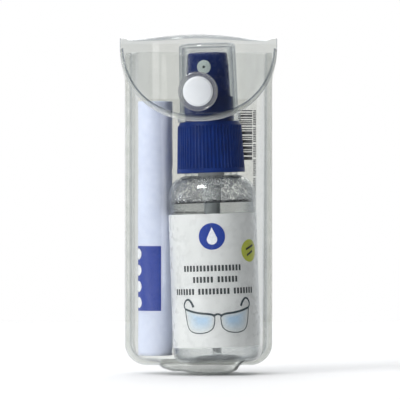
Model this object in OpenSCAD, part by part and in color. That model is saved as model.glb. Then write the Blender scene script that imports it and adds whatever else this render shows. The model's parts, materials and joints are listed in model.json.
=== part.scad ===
// Lens cleaning spray kit: a clear vinyl pouch with a snap flap, holding a small
// fine-mist spray bottle and a rolled microfibre cloth. Millimetres, +Z up, front is -Y.
// The origin is the middle of the pouch's lowest face. The bottle leans a little in the
// pouch, so its pieces are drawn upright in their own frame and placed by in_bottle().

/* [Pouch] */
// Width over the side welds
pouch_w = 50.6; // [50:0.1:51.2]
// Height of the top of the folded flap
pouch_h = 114.9; // [114.5:0.1:116]
// Thickness of the vinyl film
film_t = 0.3; // [0.2:0.05:0.4]
// Width of the welded band along the edges
weld_w = 2; // [1.4:0.1:2.2]
// Outer radius of the two bottom corners
corner_r = 7.5; // [6:0.5:12]
// Height of the front panel's open edge
mouth_z = 109.8; // [108:0.1:110]

/* [Flap] */
// Half width across the flap's ears
ear_w = 27; // [26.5:0.1:27.5]
// Height of the flap's lowest point
flap_tip_z = 85.7; // [84:0.1:88]
// Diameter of the snap's cap
snap_d = 10.1; // [9:0.1:11]
// Height of the snap's centre
snap_z = 95.7; // [95:0.1:97]

/* [Bottle] */
// Outer diameter of the bottle's body
bottle_d = 29.6; // [29:0.1:29.8]
// Wall thickness of the body
bottle_wall = 0.7; // [0.5:0.1:0.8]
// Height of the neck's top above the base
neck_top = 74.2; // [74:0.1:74.4]
// Lean of the bottle towards the cloth, in degrees
lean = 1.9; // [1.5:0.1:2]
// Level of the fluid above the base
fluid_level = 54.1; // [45:0.1:54.2]

/* [Sprayer] */
// Diameter of the ribbed closure at its lower edge
closure_d = 23.1; // [23:0.1:23.4]
// Number of grip ribs round the closure
rib_count = 56; // [40:1:60]
// Pitch of the neck thread
thread_pitch = 3.175; // [3:0.005:3.3]
// Downward travel of the actuator
stroke = 4.2; // [3.5:0.1:4.2]
// Turn of the nozzle away from straight ahead, in degrees
nozzle_turn = -10.6; // [-20:0.1:20]

/* [Cloth] */
// Diameter of the rolled cloth
roll_d = 11.8; // [11:0.1:11.8]
// Length of the roll
roll_l = 86.7; // [80:0.1:88]

/* [Hidden] */
$fn = 64;
hull_fn = 40;
eps = 0.01;

// Pouch frame
back_y = 15.6;                      // outer face of the back panel
back_in = back_y - film_t;          // inner face of the back panel
half_w = pouch_w / 2;
seam_w = half_w - weld_w;           // half width of the front panel's rim
back_bottom = 2.5;                  // lower edge of the back panel
seam_bottom = back_bottom + weld_w; // lower edge of the front panel's rim
hinge_z = 113.8;                    // height of the flap's fold axis
back_top = hinge_z - 0.2;
foot = [-11, 10.5, -11, 7];         // flat foot of the front panel: x from, x to, y from, y to
snap_x = -0.2;
front_flat = -4;                    // the front film is flat from this x to the bottle's axis
pad_y = 12.15;                      // inner face of the flat pad that holds the stud, forwards
flap_y = 14.3;                      // inner face of the flap's front, forwards

// Bottle frame
bottle_x = 6.4;                     // centre of the bottle's base
bottle_z = 4.4;
bottle_r = bottle_d / 2;
roll_x = -15;
roll_y = 8.6;
roll_r = roll_d / 2;
roll_z = 6.1;

// Heights in the bottle's frame
closure_z0 = 64.1;
closure_z1 = 81.4;
gasket_t = 0.9;
flange_z = neck_top + gasket_t;     // underside of the pump flange
deck_z = flange_z + 1.2;            // underside of the closure's deck
deck_top = deck_z + 1.6;
collar_top = 89.8;
actuator_z0 = 85.4;
actuator_top = 104.9;
overcap_top = 108;
nozzle_z = 99.9;
piston_z = 68.5;                    // underside of the piston, where the spring presses
barrel_z = 60;                      // floor of the pump chamber
ball_z = 55.74;

// Radii in the bottle's frame
neck_r = 9;
neck_bore = 7;
thread_r = 9.85;                    // crest of the neck thread
skirt_bore = 10.05;
collar_r = 8.35;
collar_bore = 7.75;
bore_r = 3.2;                       // pump chamber
stem_r = 1.97;
tube_r = 1.4;
ball_r = 1.5;
insert_r = 2.35;

// Points on an arc, from angle a to angle b
function arc(cx, cy, r, a, b, n = 8) =
    [for (i = [0:n]) [cx + r * cos(a + (b - a) * i / n), cy + r * sin(a + (b - a) * i / n)]];

// Faces of a tube of n rings with k points each, closed at both ends
function tube_faces(n, k) = concat(
    [[for (j = [k - 1:-1:0]) j]],
    [for (i = [0:n - 2]) for (j = [0:k - 1])
        [i * k + j, i * k + (j + 1) % k, (i + 1) * k + (j + 1) % k, (i + 1) * k + j]],
    [[for (j = [0:k - 1]) (n - 1) * k + j]]);

// A right-hand thread ridge, from the wall at root to the crest, both ends run out
module thread_ridge(root, crest, base_h, crest_h, z0, turns, start = 0) {
    steps = round(turns * 24);
    ring = [for (i = [0:steps])
        let (t = i / steps, run = min(1, 8 * t, 8 * (1 - t)),
             c = root + (crest - root) * max(0.15, run),
             a = start + 360 * turns * t, z = z0 + thread_pitch * turns * t,
             order = crest > root ? [0, 1, 2, 3] : [3, 2, 1, 0],
             p = [[root, -base_h / 2], [c, -crest_h / 2], [c, crest_h / 2], [root, base_h / 2]])
        for (j = order) [p[j][0] * cos(a), p[j][0] * sin(a), z + p[j][1]]];
    polyhedron(points = ring, faces = tube_faces(steps + 1, 4), convexity = 6);
}

// Places the bottle's own frame in the pouch
module in_bottle() {
    translate([bottle_x, 0, bottle_z]) rotate([0, -lean, 0]) children();
}

// A tube or disc between two heights
module ring(r, bore, z0, z1) {
    difference() {
        translate([0, 0, z0]) cylinder(r = r, h = z1 - z0);
        if (bore > 0) translate([0, 0, z0 - 1]) cylinder(r = bore, h = z1 - z0 + 2);
    }
}

// ---- Pouch ----

// Upright outline with two round bottom corners, drawn in x and z
module pocket_outline(half, z0, z1, r) {
    translate([-half, z0 + r]) square([2 * half, z1 - z0 - r]);
    translate([-half + r, z0]) square([2 * (half - r), r + eps]);
    for (s = [-1, 1]) translate([s * (half - r), z0 + r]) circle(r = r);
}

// Turns an outline in x and z into a plate between two y planes
module upright(y0, y1) {
    translate([0, y1, 0]) rotate([90, 0, 0]) linear_extrude(y1 - y0) children();
}

module pouch_back_panel() {
    color([0.86, 0.88, 0.86, 0.35]) upright(back_in, back_y) {
        pocket_outline(half_w, back_bottom, back_top, corner_r);
        polygon([[-half_w, 100], [half_w, 100], [ear_w, back_top - 4], [ear_w, back_top],
                 [-ear_w, back_top], [-ear_w, back_top - 4]]);
    }
}

module pouch_weld_band() {
    color([0.8, 0.82, 0.8, 0.6]) upright(back_in - film_t, back_in) difference() {
        pocket_outline(half_w, back_bottom, mouth_z, corner_r);
        translate([0, eps]) pocket_outline(seam_w + 0.2, seam_bottom - 0.2, mouth_z + 1,
            corner_r - weld_w + 0.2);
    }
}

// The space in the pouch, grown by g: the foot, the bottle, the roll, the mouth and the back
module pouch_space(g, top) {
    hull() {
        translate([foot[0] - g, foot[2] - g, film_t - g])
            cube([foot[1] - foot[0] + 2 * g, foot[3] - foot[2] + 2 * g, eps]);
        in_bottle() for (a = [0, 30, 60]) translate([0, 0, 3 - (3.3 + g) * sin(a)])
            cylinder(r = bottle_r - 3 + (3.3 + g) * cos(a) / cos(15), h = 54, $fn = hull_fn);
        translate([roll_x, roll_y, roll_z]) cylinder(r = roll_r + 0.3 + g, h = top - roll_z, $fn = 32);
        for (x = [front_flat, 3.2]) translate([x, 0, top - eps])
            cylinder(r = 10.9 + g, h = eps, $fn = hull_fn);
        upright(back_in - 0.3, back_in) pocket_outline(seam_w - film_t + g,
            seam_bottom + film_t - g, top, corner_r - weld_w - film_t + g, $fn = 32);
    }
}

module pouch_front_panel() {
    color([0.86, 0.88, 0.86, 0.35]) difference() {
        pouch_space(film_t, mouth_z);
        pouch_space(0, mouth_z + 0.4);
        translate([-40, back_in - eps, -10]) cube([80, 10, 140]);
        on_snap(0) cylinder(r = 4.5, h = 20);
    }
    color([0.86, 0.88, 0.86, 0.35]) on_snap(pad_y) {
        ring(4.8, 4.4, -0.4, film_t + 0.4);
        ring(4.5, 1.3, 0, film_t);
    }
}

module info_sticker() {
    color([0.9, 0.9, 0.88, 0.5]) upright(back_y, back_y + 0.1)
        translate([-17.5, 44]) square([37.5, 50]);
}

// ---- Snap ----

// Draws a snap piece as a profile turned about the snap's axis, its height pointing to the front
module on_snap(y) {
    translate([snap_x, -y, snap_z]) rotate([90, 0, 0]) children();
}

module snap_stud() {
    color("white") on_snap(pad_y + film_t) difference() {
        union() {
            cylinder(r = 4, h = 0.4);
            rotate_extrude() polygon([[0, 0.35], [2, 0.35], [1.6, 0.7], [1.8, 1.05], [1.3, 1.45], [0, 1.45]]);
        }
        translate([0, 0, -1]) cylinder(r = 1.05, h = 2);
    }
}

module snap_rivet() {
    color("white") on_snap(pad_y - 0.85) {
        rotate_extrude() polygon([[0, 0], [3.4, 0], [4.2, 0.4], [4.2, 0.85], [0, 0.85]]);
        cylinder(r = 1, h = 1.95);
    }
}

module snap_socket() {
    color("white") on_snap(flap_y - 1.35) difference() {
        cylinder(r = 3.6, h = 1.35);
        translate([0, 0, -1]) cylinder(r = 2.15, h = 2.1);
        translate([0, 0, -1]) cylinder(r = 1.05, h = 3);
    }
}

module snap_washer() {
    color([0.9, 0.92, 0.92, 0.5]) on_snap(flap_y + film_t) {
        ring(6.7, 1.2, 0, 0.2);
        ring(6.7, 6.2, 0, 0.45);
    }
}

module snap_cap() {
    r = snap_d / 2;
    color("white") on_snap(flap_y + film_t + 0.2) {
        rotate_extrude() polygon(concat([[0, 0], [r - 0.3, 0], [r, 0.3]],
            arc(0, -14.15, 15.6, 90 - asin(4.4 / 15.6), 90, 8)));
        translate([0, 0, -0.7]) cylinder(r = 1, h = 1);
    }
}

// ---- Flap ----

// The flap's outline in x and z: a superellipse hung from the two ears, shrunk by cut
module flap_outline(cut = 0) {
    a = ear_w - cut;
    b = hinge_z - flap_tip_z - cut;
    n = 2.15;
    translate([0, hinge_z]) polygon(concat([[a, 2], [-a, 2]],
        [for (i = [0:32]) let (t = 180 + 180 * i / 32)
            [a * sign(cos(t)) * pow(abs(cos(t)), 2 / n), -b * pow(abs(sin(t)), 2 / n)]]));
}

// The solid that the flap wraps, grown by g, from its tip to the height top
module flap_form(g, top) {
    hull() {
        for (x = [front_flat, 3.4]) {
            translate([x, 0, 83]) cylinder(r = flap_y + g, h = top - 83, $fn = hull_fn);
        }
        translate([roll_x, roll_y, 83]) cylinder(r = roll_r + 1.5 + g, h = eps, $fn = 32);
        translate([-26.6 - g, 14.3, 83]) cube([53.2 + 2 * g, 0.8, top - 83]);
    }
}

module flap_panel() {
    color([0.86, 0.88, 0.86, 0.35]) difference() {
        intersection() {
            flap_form(film_t, pouch_h);
            upright(-30, 15.1) flap_outline();
        }
        flap_form(0, pouch_h - film_t);
        on_snap(0) cylinder(r = 1.1, h = 20);
    }
}

module flap_weld_band() {
    color([0.8, 0.82, 0.8, 0.6]) difference() {
        intersection() {
            flap_form(film_t + 0.25, pouch_h);
            upright(-30, 14.2) difference() {
                flap_outline();
                flap_outline(weld_w);
            }
        }
        flap_form(film_t, pouch_h + 1);
        translate([-40, -40, pouch_h - 2]) cube([80, 60, 3]);
    }
}

// ---- Cloth ----

module cleaning_cloth() {
    color([0.85, 0.87, 0.95]) translate([roll_x, roll_y, roll_z]) cylinder(r = roll_r, h = roll_l);
}

// ---- Bottle ----

module bottle() {
    r = bottle_r;
    w = bottle_wall;
    outer = concat([[0, 1.6], [6, 1.2], [9.5, 0.2], [10.6, 0]], arc(r - 3, 3, 3, -80, 0),
        arc(r - 6.6, 56.6, 6.6, 0, 82), [[neck_r, 63.2], [neck_r, neck_top]]);
    inner = concat([[neck_bore, neck_top], [neck_bore, 63]], arc(r - 6.6, 56.6, 6.6 - w, 90, 0),
        arc(r - 3, 3, 3 - w, 0, -80), [[9.5, 0.95], [6, 1.95], [0, 2.35]]);
    color([0.85, 0.9, 0.92, 0.3]) in_bottle() {
        rotate_extrude() polygon(concat(outer, inner));
        thread_ridge(neck_r - 0.2, thread_r, 1.3, 0.6, 66.4, 1.5);
    }
}

module bottle_label() {
    color("white") in_bottle() translate([0, 0, 5.1]) rotate([0, 0, 95])
        rotate_extrude(angle = 350) translate([bottle_r + 0.02, 0]) square([0.1, 45.1]);
}

module promo_sticker() {
    color([0.65, 0.7, 0.15]) in_bottle() intersection() {
        ring(bottle_r + 0.22, bottle_r + 0.13, 30, 45);
        rotate([0, 0, 53.2]) translate([0, 0, 37.4]) rotate([90, 0, 0]) cylinder(r = 3.8, h = 20);
    }
}

module cleaning_fluid() {
    r = bottle_r - 3;
    q = 3 - bottle_wall - 0.05;
    color([0.8, 0.88, 0.95, 0.4]) in_bottle() difference() {
        rotate_extrude() polygon(concat([[0, 2.4], [6, 2], [9.5, 1]], arc(r, 3, q, -80, 0),
            [[r + q, fluid_level], [0, fluid_level]]));
        cylinder(r = tube_r + 0.1, h = fluid_level + 1);
        translate([0, 0, 47]) cylinder(r = 2.8, h = 10);
    }
}

// ---- Pump ----

module neck_gasket() {
    color("white") in_bottle() ring(neck_r, 5, neck_top, neck_top + gasket_t);
}

module pump_housing() {
    color([0.92, 0.93, 0.93]) in_bottle() difference() {
        rotate_extrude() polygon([[0, 47.5], [2.6, 47.5], [2.6, 54], [3.2, 54.6], [3.2, 58.6],
            [4.5, 59.4], [4.5, flange_z], [9.6, flange_z], [9.6, deck_z], [5.4, deck_z],
            [5.4, 79.2], [0, 79.2]]);
        translate([0, 0, 46]) cylinder(r = tube_r + 0.02, h = 7.5);
        translate([0, 0, 53]) cylinder(r = 0.9, h = 3);
        translate([0, 0, 54.5]) cylinder(r1 = 0.9, r2 = 1.95, h = 1.05);
        translate([0, 0, 55.54]) cylinder(r = 1.95, h = 2.06);
        translate([0, 0, 57.5]) cylinder(r = 1.35, h = 1);
        translate([0, 0, 58.2]) cylinder(r = 1.95, h = 3);
        translate([0, 0, barrel_z]) cylinder(r = bore_r, h = 30);
        translate([0, 0, 75.2]) cylinder(r = 3.9, h = 10);
    }
}

module housing_cap() {
    color([0.92, 0.93, 0.93]) in_bottle() {
        ring(3.88, stem_r + 0.06, 75.2, 79.25);
        ring(5.4, stem_r + 0.06, 79.2, 80.2);
    }
}

module dip_tube() {
    color([0.9, 0.92, 0.92, 0.6]) in_bottle() difference() {
        ring(tube_r, 0.9, 2.8, 53.4);
        translate([0, 0, 2.8]) rotate([0, 35, 0]) translate([-5, -5, -5]) cube([10, 10, 5]);
    }
}

module valve_ball() {
    color("silver") in_bottle() translate([0, 0, ball_z]) sphere(r = ball_r);
}

// The coil's wire is a six-sided tube swept along a helix, with its end turns closed up
module return_spring() {
    turns = 7;
    wire = 0.25;
    coil_r = 2.55;
    steps = turns * 16;
    z0 = barrel_z + wire + 0.03;
    rise = piston_z - barrel_z - 2 * wire - 0.06;
    points = [for (i = [0:steps])
        let (a = 360 * turns * i / steps, u = i / steps,
             z = z0 + rise * max(0, min(1, (u - 0.1) / 0.8)) * 0.86 + rise * 0.14 * u)
        for (j = [0:5]) let (r = coil_r + wire * cos(60 * j))
            [r * cos(a), r * sin(a), z + wire * sin(60 * j)]];
    color("silver") in_bottle() polyhedron(points = points, faces = tube_faces(steps + 1, 6), convexity = 8);
}

module piston() {
    color([0.95, 0.95, 0.95]) in_bottle() difference() {
        rotate_extrude() polygon([[1.6, piston_z], [2.9, piston_z], [3.15, 69], [3.15, 69.8],
            [2.6, 70.2], [2.6, 71.2], [3.15, 71.6], [3.15, 72.4], [2.9, 72.9], [1.6, 72.9]]);
    }
}

module stem() {
    color([0.95, 0.95, 0.95]) in_bottle() difference() {
        union() {
            translate([0, 0, piston_z - 0.4]) cylinder(r = 1.6, h = 5);
            translate([0, 0, 72.9]) cylinder(r = stem_r, h = 24.5);
        }
        translate([0, 0, 70.5]) cylinder(r = 0.8, h = 40);
        translate([-3, 0, 73.6]) rotate([0, 90, 0]) cylinder(r = 0.4, h = 6);
    }
}

// ---- Actuator and nozzle ----

module actuator() {
    color([0.09, 0.14, 0.5]) in_bottle() difference() {
        rotate_extrude() polygon(concat([[0, actuator_z0 + 0.8], [3.4, actuator_z0 + 0.8],
            [3.4, 97.2], [6.1, 96.6], [6.5, actuator_z0], [7.55, actuator_z0], [7.5, collar_top],
            [7.15, nozzle_z]], arc(6.75 - 0.7, actuator_top - 0.7, 0.7, 0, 90), [[0, actuator_top]]));
        translate([0, 0, actuator_top + 26.3]) sphere(r = 27);
        translate([0, 0, 80]) cylinder(r = stem_r + 0.03, h = 17.5);
        cylinder(r = 0.8, h = nozzle_z);
        rotate([0, 0, nozzle_turn]) {
            translate([0, 0, nozzle_z]) rotate([90, 0, 0]) {
                cylinder(r = 0.6, h = 6);
                translate([0, 0, 4.2]) cylinder(r = insert_r, h = 6);
            }
            translate([-0.15, -8, nozzle_z + 1]) cube([0.3, 1.15, 6]);
        }
    }
}

module nozzle_insert() {
    color([0.9, 0.94, 0.93]) in_bottle() rotate([0, 0, nozzle_turn]) translate([0, 0, nozzle_z])
        rotate([90, 0, 0]) difference() {
            union() {
                translate([0, 0, 4.3]) cylinder(r = insert_r - 0.02, h = 2.75);
                translate([0, 0, 7.05]) cylinder(r1 = insert_r - 0.02, r2 = insert_r - 0.25, h = 0.2);
            }
            translate([0, 0, 4]) cylinder(r = 1.3, h = 2.3);
            translate([0, 0, 6]) cylinder(r = 0.2, h = 2);
            translate([0, 0, 7]) cylinder(r1 = 0.2, r2 = 0.7, h = 0.3);
        }
}

// ---- Closure and overcap ----

// Outline of the ribbed grip, r is the radius over the ribs
module rib_outline(r) {
    step = 360 / rib_count;
    depth = 0.35;
    polygon([for (i = [0:rib_count - 1]) for (p = [[-0.3, 0], [-0.12, 1], [0.12, 1], [0.3, 0]])
        let (a = (i + p[0]) * step, q = r - depth + depth * p[1]) [q * cos(a), q * sin(a)]]);
}

module screw_closure() {
    r0 = closure_d / 2;
    r1 = r0 - 0.6;
    band = 1.5;
    color([0.06, 0.11, 0.47]) in_bottle() {
        difference() {
            union() {
                translate([0, 0, closure_z0]) cylinder(r = r0, h = band);
                translate([0, 0, closure_z0 + band - 0.4])
                    linear_extrude(15, scale = (r1 - 0.05) / r0) rib_outline(r0 - 0.06);
                translate([0, 0, closure_z0 + 15.8])
                    cylinder(r1 = r1 - 0.22, r2 = r1 - 0.9, h = closure_z1 - closure_z0 - 15.8);
                cylinder(r = collar_r, h = collar_top);
            }
            cylinder(r = skirt_bore, h = deck_z);
            cylinder(r = 5.5, h = 90);
            translate([0, 0, deck_top]) cylinder(r = collar_bore, h = 20);
        }
        thread_ridge(skirt_bore + 0.2, neck_r + 0.15, 1.3, 0.6, 66.4 + thread_pitch / 2, 1.5);
    }
}

module overcap() {
    z0 = closure_z1 + 0.05;
    color([0.9, 0.93, 0.94, 0.3]) in_bottle() rotate_extrude() polygon(concat(
        [[collar_r + 0.08, z0], [10.5, z0], [10.7, z0 + 0.2], [10.7, 84], [10.4, 84.3], [9.95, 84.5]],
        arc(9.6 - 1.4, overcap_top - 1.4, 1.4, 0, 90, 6), [[0, overcap_top], [0, overcap_top - 1.1]],
        arc(8.6 - 0.6, overcap_top - 1.7, 0.6, 90, 0, 4), [[9.05, 84.6], [collar_r + 0.08, 83.6]]));
}

pouch_back_panel();
pouch_front_panel();
pouch_weld_band();
info_sticker();
snap_stud();
snap_rivet();
flap_panel();
flap_weld_band();
snap_washer();
snap_socket();
snap_cap();
cleaning_cloth();
bottle();
bottle_label();
promo_sticker();
cleaning_fluid();
neck_gasket();
pump_housing();
housing_cap();
dip_tube();
valve_ball();
return_spring();
piston();
stem();
actuator();
nozzle_insert();
screw_closure();
overcap();
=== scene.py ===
import json
import math
import random

import bmesh
import bpy
import numpy as np
from mathutils import Matrix, Vector
from mathutils.bvhtree import BVHTree


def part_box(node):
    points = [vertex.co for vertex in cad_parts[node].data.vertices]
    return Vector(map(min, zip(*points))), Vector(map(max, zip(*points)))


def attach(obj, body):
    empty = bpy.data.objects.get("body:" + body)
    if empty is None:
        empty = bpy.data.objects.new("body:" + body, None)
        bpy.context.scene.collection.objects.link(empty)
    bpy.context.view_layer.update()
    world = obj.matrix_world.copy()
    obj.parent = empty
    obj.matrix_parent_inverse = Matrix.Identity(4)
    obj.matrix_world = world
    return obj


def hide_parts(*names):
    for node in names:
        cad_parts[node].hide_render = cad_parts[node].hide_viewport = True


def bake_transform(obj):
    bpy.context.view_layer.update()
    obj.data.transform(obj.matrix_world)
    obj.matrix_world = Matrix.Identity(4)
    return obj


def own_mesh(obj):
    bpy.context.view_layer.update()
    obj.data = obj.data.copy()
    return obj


# Looks for a lens cleaning spray kit: a clear vinyl pouch with a snap flap, holding a small
# spray bottle and a rolled microfibre cloth. Lengths in the builders are millimetres in the
# row frame or in the bottle's own frame, and become metres when a mesh is made.

MM = 0.001
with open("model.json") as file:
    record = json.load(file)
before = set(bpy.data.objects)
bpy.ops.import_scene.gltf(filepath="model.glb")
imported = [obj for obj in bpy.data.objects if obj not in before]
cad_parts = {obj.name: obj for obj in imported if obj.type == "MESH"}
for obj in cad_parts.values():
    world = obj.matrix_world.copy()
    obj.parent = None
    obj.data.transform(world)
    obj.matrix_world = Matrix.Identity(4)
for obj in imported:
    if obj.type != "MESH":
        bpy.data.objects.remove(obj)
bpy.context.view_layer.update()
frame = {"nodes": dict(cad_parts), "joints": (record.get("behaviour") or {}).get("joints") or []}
NODES = frame["nodes"]
JOINTS = {j["name"]: j for j in frame["joints"]}


def size_of(node):
    """(low corner, high corner) of a CAD node, in millimetres."""
    low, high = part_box(node)
    return low / MM, high / MM


# ---- Sizes read from the frame ----

BACK_LOW, BACK_HIGH = size_of("pouch_back_panel")
BAND_HIGH = size_of("pouch_weld_band")[1]
FLAP_LOW, FLAP_HIGH = size_of("flap_panel")
ROLL_LOW, ROLL_HIGH = size_of("cleaning_cloth")
STICKER_HIGH = size_of("info_sticker")[1]
CAP_LOW, CAP_HIGH = size_of("snap_cap")

FILM = 0.3  # thickness of the vinyl
WELD = 2.0  # width of the welded bands
CORNER = 7.5  # radius of the pouch's bottom corners
BACK_Y = (BACK_LOW.y + BACK_HIGH.y) / 2
HALF_W = BAND_HIGH.x  # half width over the side welds
EAR_W = BACK_HIGH.x  # half width across the flap's ears
SEAM_W = HALF_W - WELD
SEAM_Y = BAND_HIGH.y - 0.3
MOUTH_Z = size_of("pouch_front_panel")[1].z  # height of the front film's open edge
FOLD = Vector(JOINTS["flap_lift"]["pos_m"]) / MM
FLAP_DROP = FOLD.z - FLAP_LOW.z
FLAP_R = -FLAP_LOW.y  # radius of the flap's bend round the bottle
FLAP_POWER = 2.15
SNAP = Vector(((CAP_LOW.x + CAP_HIGH.x) / 2, CAP_LOW.y, (CAP_LOW.z + CAP_HIGH.z) / 2))
ROLL = Vector(((ROLL_LOW.x + ROLL_HIGH.x) / 2, (ROLL_LOW.y + ROLL_HIGH.y) / 2, ROLL_LOW.z))
ROLL_R = (ROLL_HIGH.x - ROLL_LOW.x) / 2

AXIS = Vector(JOINTS["closure_turn"]["axis"])
TURN_HEIGHT = 72  # height of closure_turn's point in the bottle
BASE = Vector(JOINTS["closure_turn"]["pos_m"]) / MM - AXIS * TURN_HEIGHT
ACROSS = Vector((0, 1, 0)).cross(AXIS)
BOTTLE_R = 14.8
LABEL_R = BOTTLE_R + 0.12
FLUID_Z = 54.1  # level of the fluid, in the bottle's frame
NOZZLE_TURN = math.radians(-10.6)  # the nozzle's turn away from straight ahead
NOZZLE_REACH = 7.25  # from the bottle's axis to the nozzle's face
NOZZLE_Z = 99.9


def in_bottle(x, y, z):
    """A point of the bottle's own frame, in the row frame."""
    return BASE + ACROSS * x + Vector((0, y, 0)) + AXIS * z


# ---- Materials ----

class Shade:
    """A material made of nodes, with a Principled shader to start from."""

    def __init__(self, name):
        self.material = bpy.data.materials.new(name)
        self.material.use_nodes = True
        self.tree = self.material.node_tree
        self.shader = self.tree.nodes["Principled BSDF"]
        self.output = self.tree.nodes["Material Output"]
        self.place = self.tree.nodes.new("ShaderNodeTexCoord").outputs["Object"]

    def node(self, kind, inputs=None, **settings):
        made = self.tree.nodes.new("ShaderNode" + kind)
        for key, value in settings.items():
            setattr(made, key, value)
        for key, value in (inputs or {}).items():
            if isinstance(value, bpy.types.NodeSocket):
                self.tree.links.new(value, made.inputs[key])
            else:
                made.inputs[key].default_value = value
        return made

    def set(self, **values):
        """Sets the Principled shader's sockets: underscores stand for spaces."""
        for key, value in values.items():
            socket = self.shader.inputs[key.replace("_", " ")]
            if isinstance(value, bpy.types.NodeSocket):
                self.tree.links.new(value, socket)
            else:
                socket.default_value = value
        return self

    def noise(self, size, detail=2.0, stretch=(1, 1, 1)):
        """Noise with features of about size millimetres, longer along an axis by stretch."""
        scale = [1 / s for s in stretch]
        moved = self.node("Mapping", {"Vector": self.place, "Scale": scale})
        made = self.node("TexNoise", {"Vector": moved.outputs[0], "Scale": 1 / (size * MM), "Detail": detail})
        return made.outputs["Fac"]

    def spread(self, value, low, high):
        """Maps a 0.3 to 0.7 texture value to low to high."""
        made = self.node("MapRange", {"Value": value, "From Min": 0.3, "From Max": 0.7,
                                      "To Min": low, "To Max": high})
        return made.outputs["Result"]

    def tints(self, value, dark, light):
        """Colours between dark and light by a texture value."""
        made = self.node("ValToRGB", {"Fac": value})
        made.color_ramp.elements[0].position = 0.3
        made.color_ramp.elements[0].color = (*dark, 1)
        made.color_ramp.elements[1].position = 0.7
        made.color_ramp.elements[1].color = (*light, 1)
        return made.outputs["Color"]

    def bump(self, height, depth, strength=1.0):
        """A normal from a height texture that is depth millimetres deep."""
        made = self.node("Bump", {"Height": height, "Distance": depth * MM, "Strength": strength})
        return made.outputs["Normal"]

    def show(self, shader):
        self.tree.links.new(shader, self.output.inputs["Surface"])
        return self.material


def moulded(name, dark, light, rough=(0.3, 0.42), grain=0.35, depth=0.01, coat=0.0, **more):
    """Injection moulded plastic: a fine satin grain, slow colour drift and uneven gloss."""
    s = Shade(name)
    s.set(Base_Color=s.tints(s.noise(6), dark, light), Roughness=s.spread(s.noise(2.5, 4), *rough),
          Normal=s.bump(s.noise(grain, 3), depth, 0.5), Coat_Weight=coat, **more)
    return s.material


def clear(name, tint, edge, rough=0.05, ripple=(14, 0.05), mirror=0.04, haze=0.0,
          haze_color=(1, 1, 1), span=(0.2, 0.95)):
    """Clear plastic or fluid that lets light straight through: tinted head on, darker edge on,
    where a ray goes a longer way inside it, and shiny at a slant. haze adds a milky share.
    ripple is the (size, depth) of its waves in millimetres, and span the slants at which the
    darker edge begins and is complete."""
    s = Shade(name)
    normal = s.bump(s.noise(ripple[0], 2), ripple[1], 1.0)
    slant = s.node("LayerWeight", {"Blend": 0.5, "Normal": normal}).outputs["Facing"]
    through = s.tints(s.noise(9, 3), [c * 0.985 for c in tint], tint)
    thick = s.node("MapRange", {"Value": slant, "From Min": span[0], "From Max": span[1]}).outputs["Result"]
    open_side = s.node("BsdfTransparent", {"Color": through}).outputs[0]
    edge_side = s.node("BsdfTransparent", {"Color": (*edge, 1)}).outputs[0]
    body = s.node("MixShader", {0: thick, 1: open_side, 2: edge_side}).outputs[0]
    if haze:
        milk = s.node("BsdfDiffuse", {"Color": (*haze_color, 1)}).outputs[0]
        body = s.node("MixShader", {0: haze, 1: body, 2: milk}).outputs[0]
    gloss = s.node("BsdfGlossy", {"Roughness": s.spread(s.noise(5, 3), rough, rough * 1.6),
                                  "Normal": normal}).outputs[0]
    steep = s.node("Math", {0: slant, 1: 5.0}, operation="POWER").outputs[0]
    share = s.node("Math", {0: steep, 1: 1 - mirror, 2: mirror}, operation="MULTIPLY_ADD").outputs[0]
    return s.show(s.node("MixShader", {0: share, 1: body, 2: gloss}).outputs[0])


def printed(name, color, rough=0.4):
    """Ink on film or paper: slightly uneven in density and gloss."""
    s = Shade(name)
    s.set(Base_Color=s.tints(s.noise(0.8, 3), [c * 0.86 for c in color], color),
          Roughness=s.spread(s.noise(1.5), rough * 0.85, rough * 1.2))
    return s.material


def welded(name):
    """Vinyl pressed by a knurled tool: two crossed sets of fine ridges, half frosted."""
    s = Shade(name)
    turned = [s.node("Mapping", {"Vector": s.place, "Rotation": (0, a, 0)}).outputs[0]
              for a in (0.785, -0.785)]
    ridges = [s.node("TexWave", {"Vector": t, "Scale": 1 / (1.9 * MM), "Distortion": 0.2},
                     bands_direction="X").outputs["Fac"] for t in turned]
    knurl = s.node("Math", {0: ridges[0], 1: ridges[1]}, operation="MULTIPLY").outputs[0]
    normal = s.bump(knurl, 0.12)
    s.set(Base_Color=s.tints(s.noise(3), (0.70, 0.72, 0.70), (0.82, 0.83, 0.81)), Roughness=0.28,
          Normal=normal)
    through = s.tints(s.noise(4), (0.86, 0.87, 0.85), (0.93, 0.935, 0.92))
    passed = s.node("BsdfTransparent", {"Color": through}).outputs[0]
    share = s.node("MapRange", {"Value": knurl, "To Min": 0.16, "To Max": 0.34}).outputs["Result"]
    return s.show(s.node("MixShader", {0: share, 1: passed, 2: s.shader.outputs[0]}).outputs[0])


def microfibre():
    """Brushed microfibre: a fine knit under a short nap, with soft sheen."""
    s = Shade("microfibre")
    knit = s.node("TexVoronoi", {"Vector": s.place, "Scale": 1 / (0.38 * MM)}).outputs["Distance"]
    nap = s.noise(0.16, 4)
    both = s.node("Math", {0: knit, 1: nap}, operation="ADD").outputs[0]
    s.set(Base_Color=s.tints(s.noise(2.2, 4), (0.60, 0.65, 0.82), (0.67, 0.715, 0.87)), Roughness=0.95,
          Normal=s.bump(both, 0.06, 0.7), Sheen_Weight=0.35, Sheen_Roughness=0.5)
    return s.material


def metal(name):
    """Drawn stainless steel with uneven gloss."""
    s = Shade(name)
    s.set(Base_Color=s.tints(s.noise(1.5), (0.55, 0.56, 0.58), (0.70, 0.71, 0.73)), Metallic=1.0,
          Roughness=s.spread(s.noise(0.5, 4), 0.22, 0.38))
    return s.material


def vinyl(name, tint, edge, rough, ripple=(16, 0.10), span=(0.4, 1.0)):
    """Soft vinyl film."""
    return clear(name, tint, edge, rough=rough, ripple=ripple, mirror=0.03, span=span)


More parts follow.
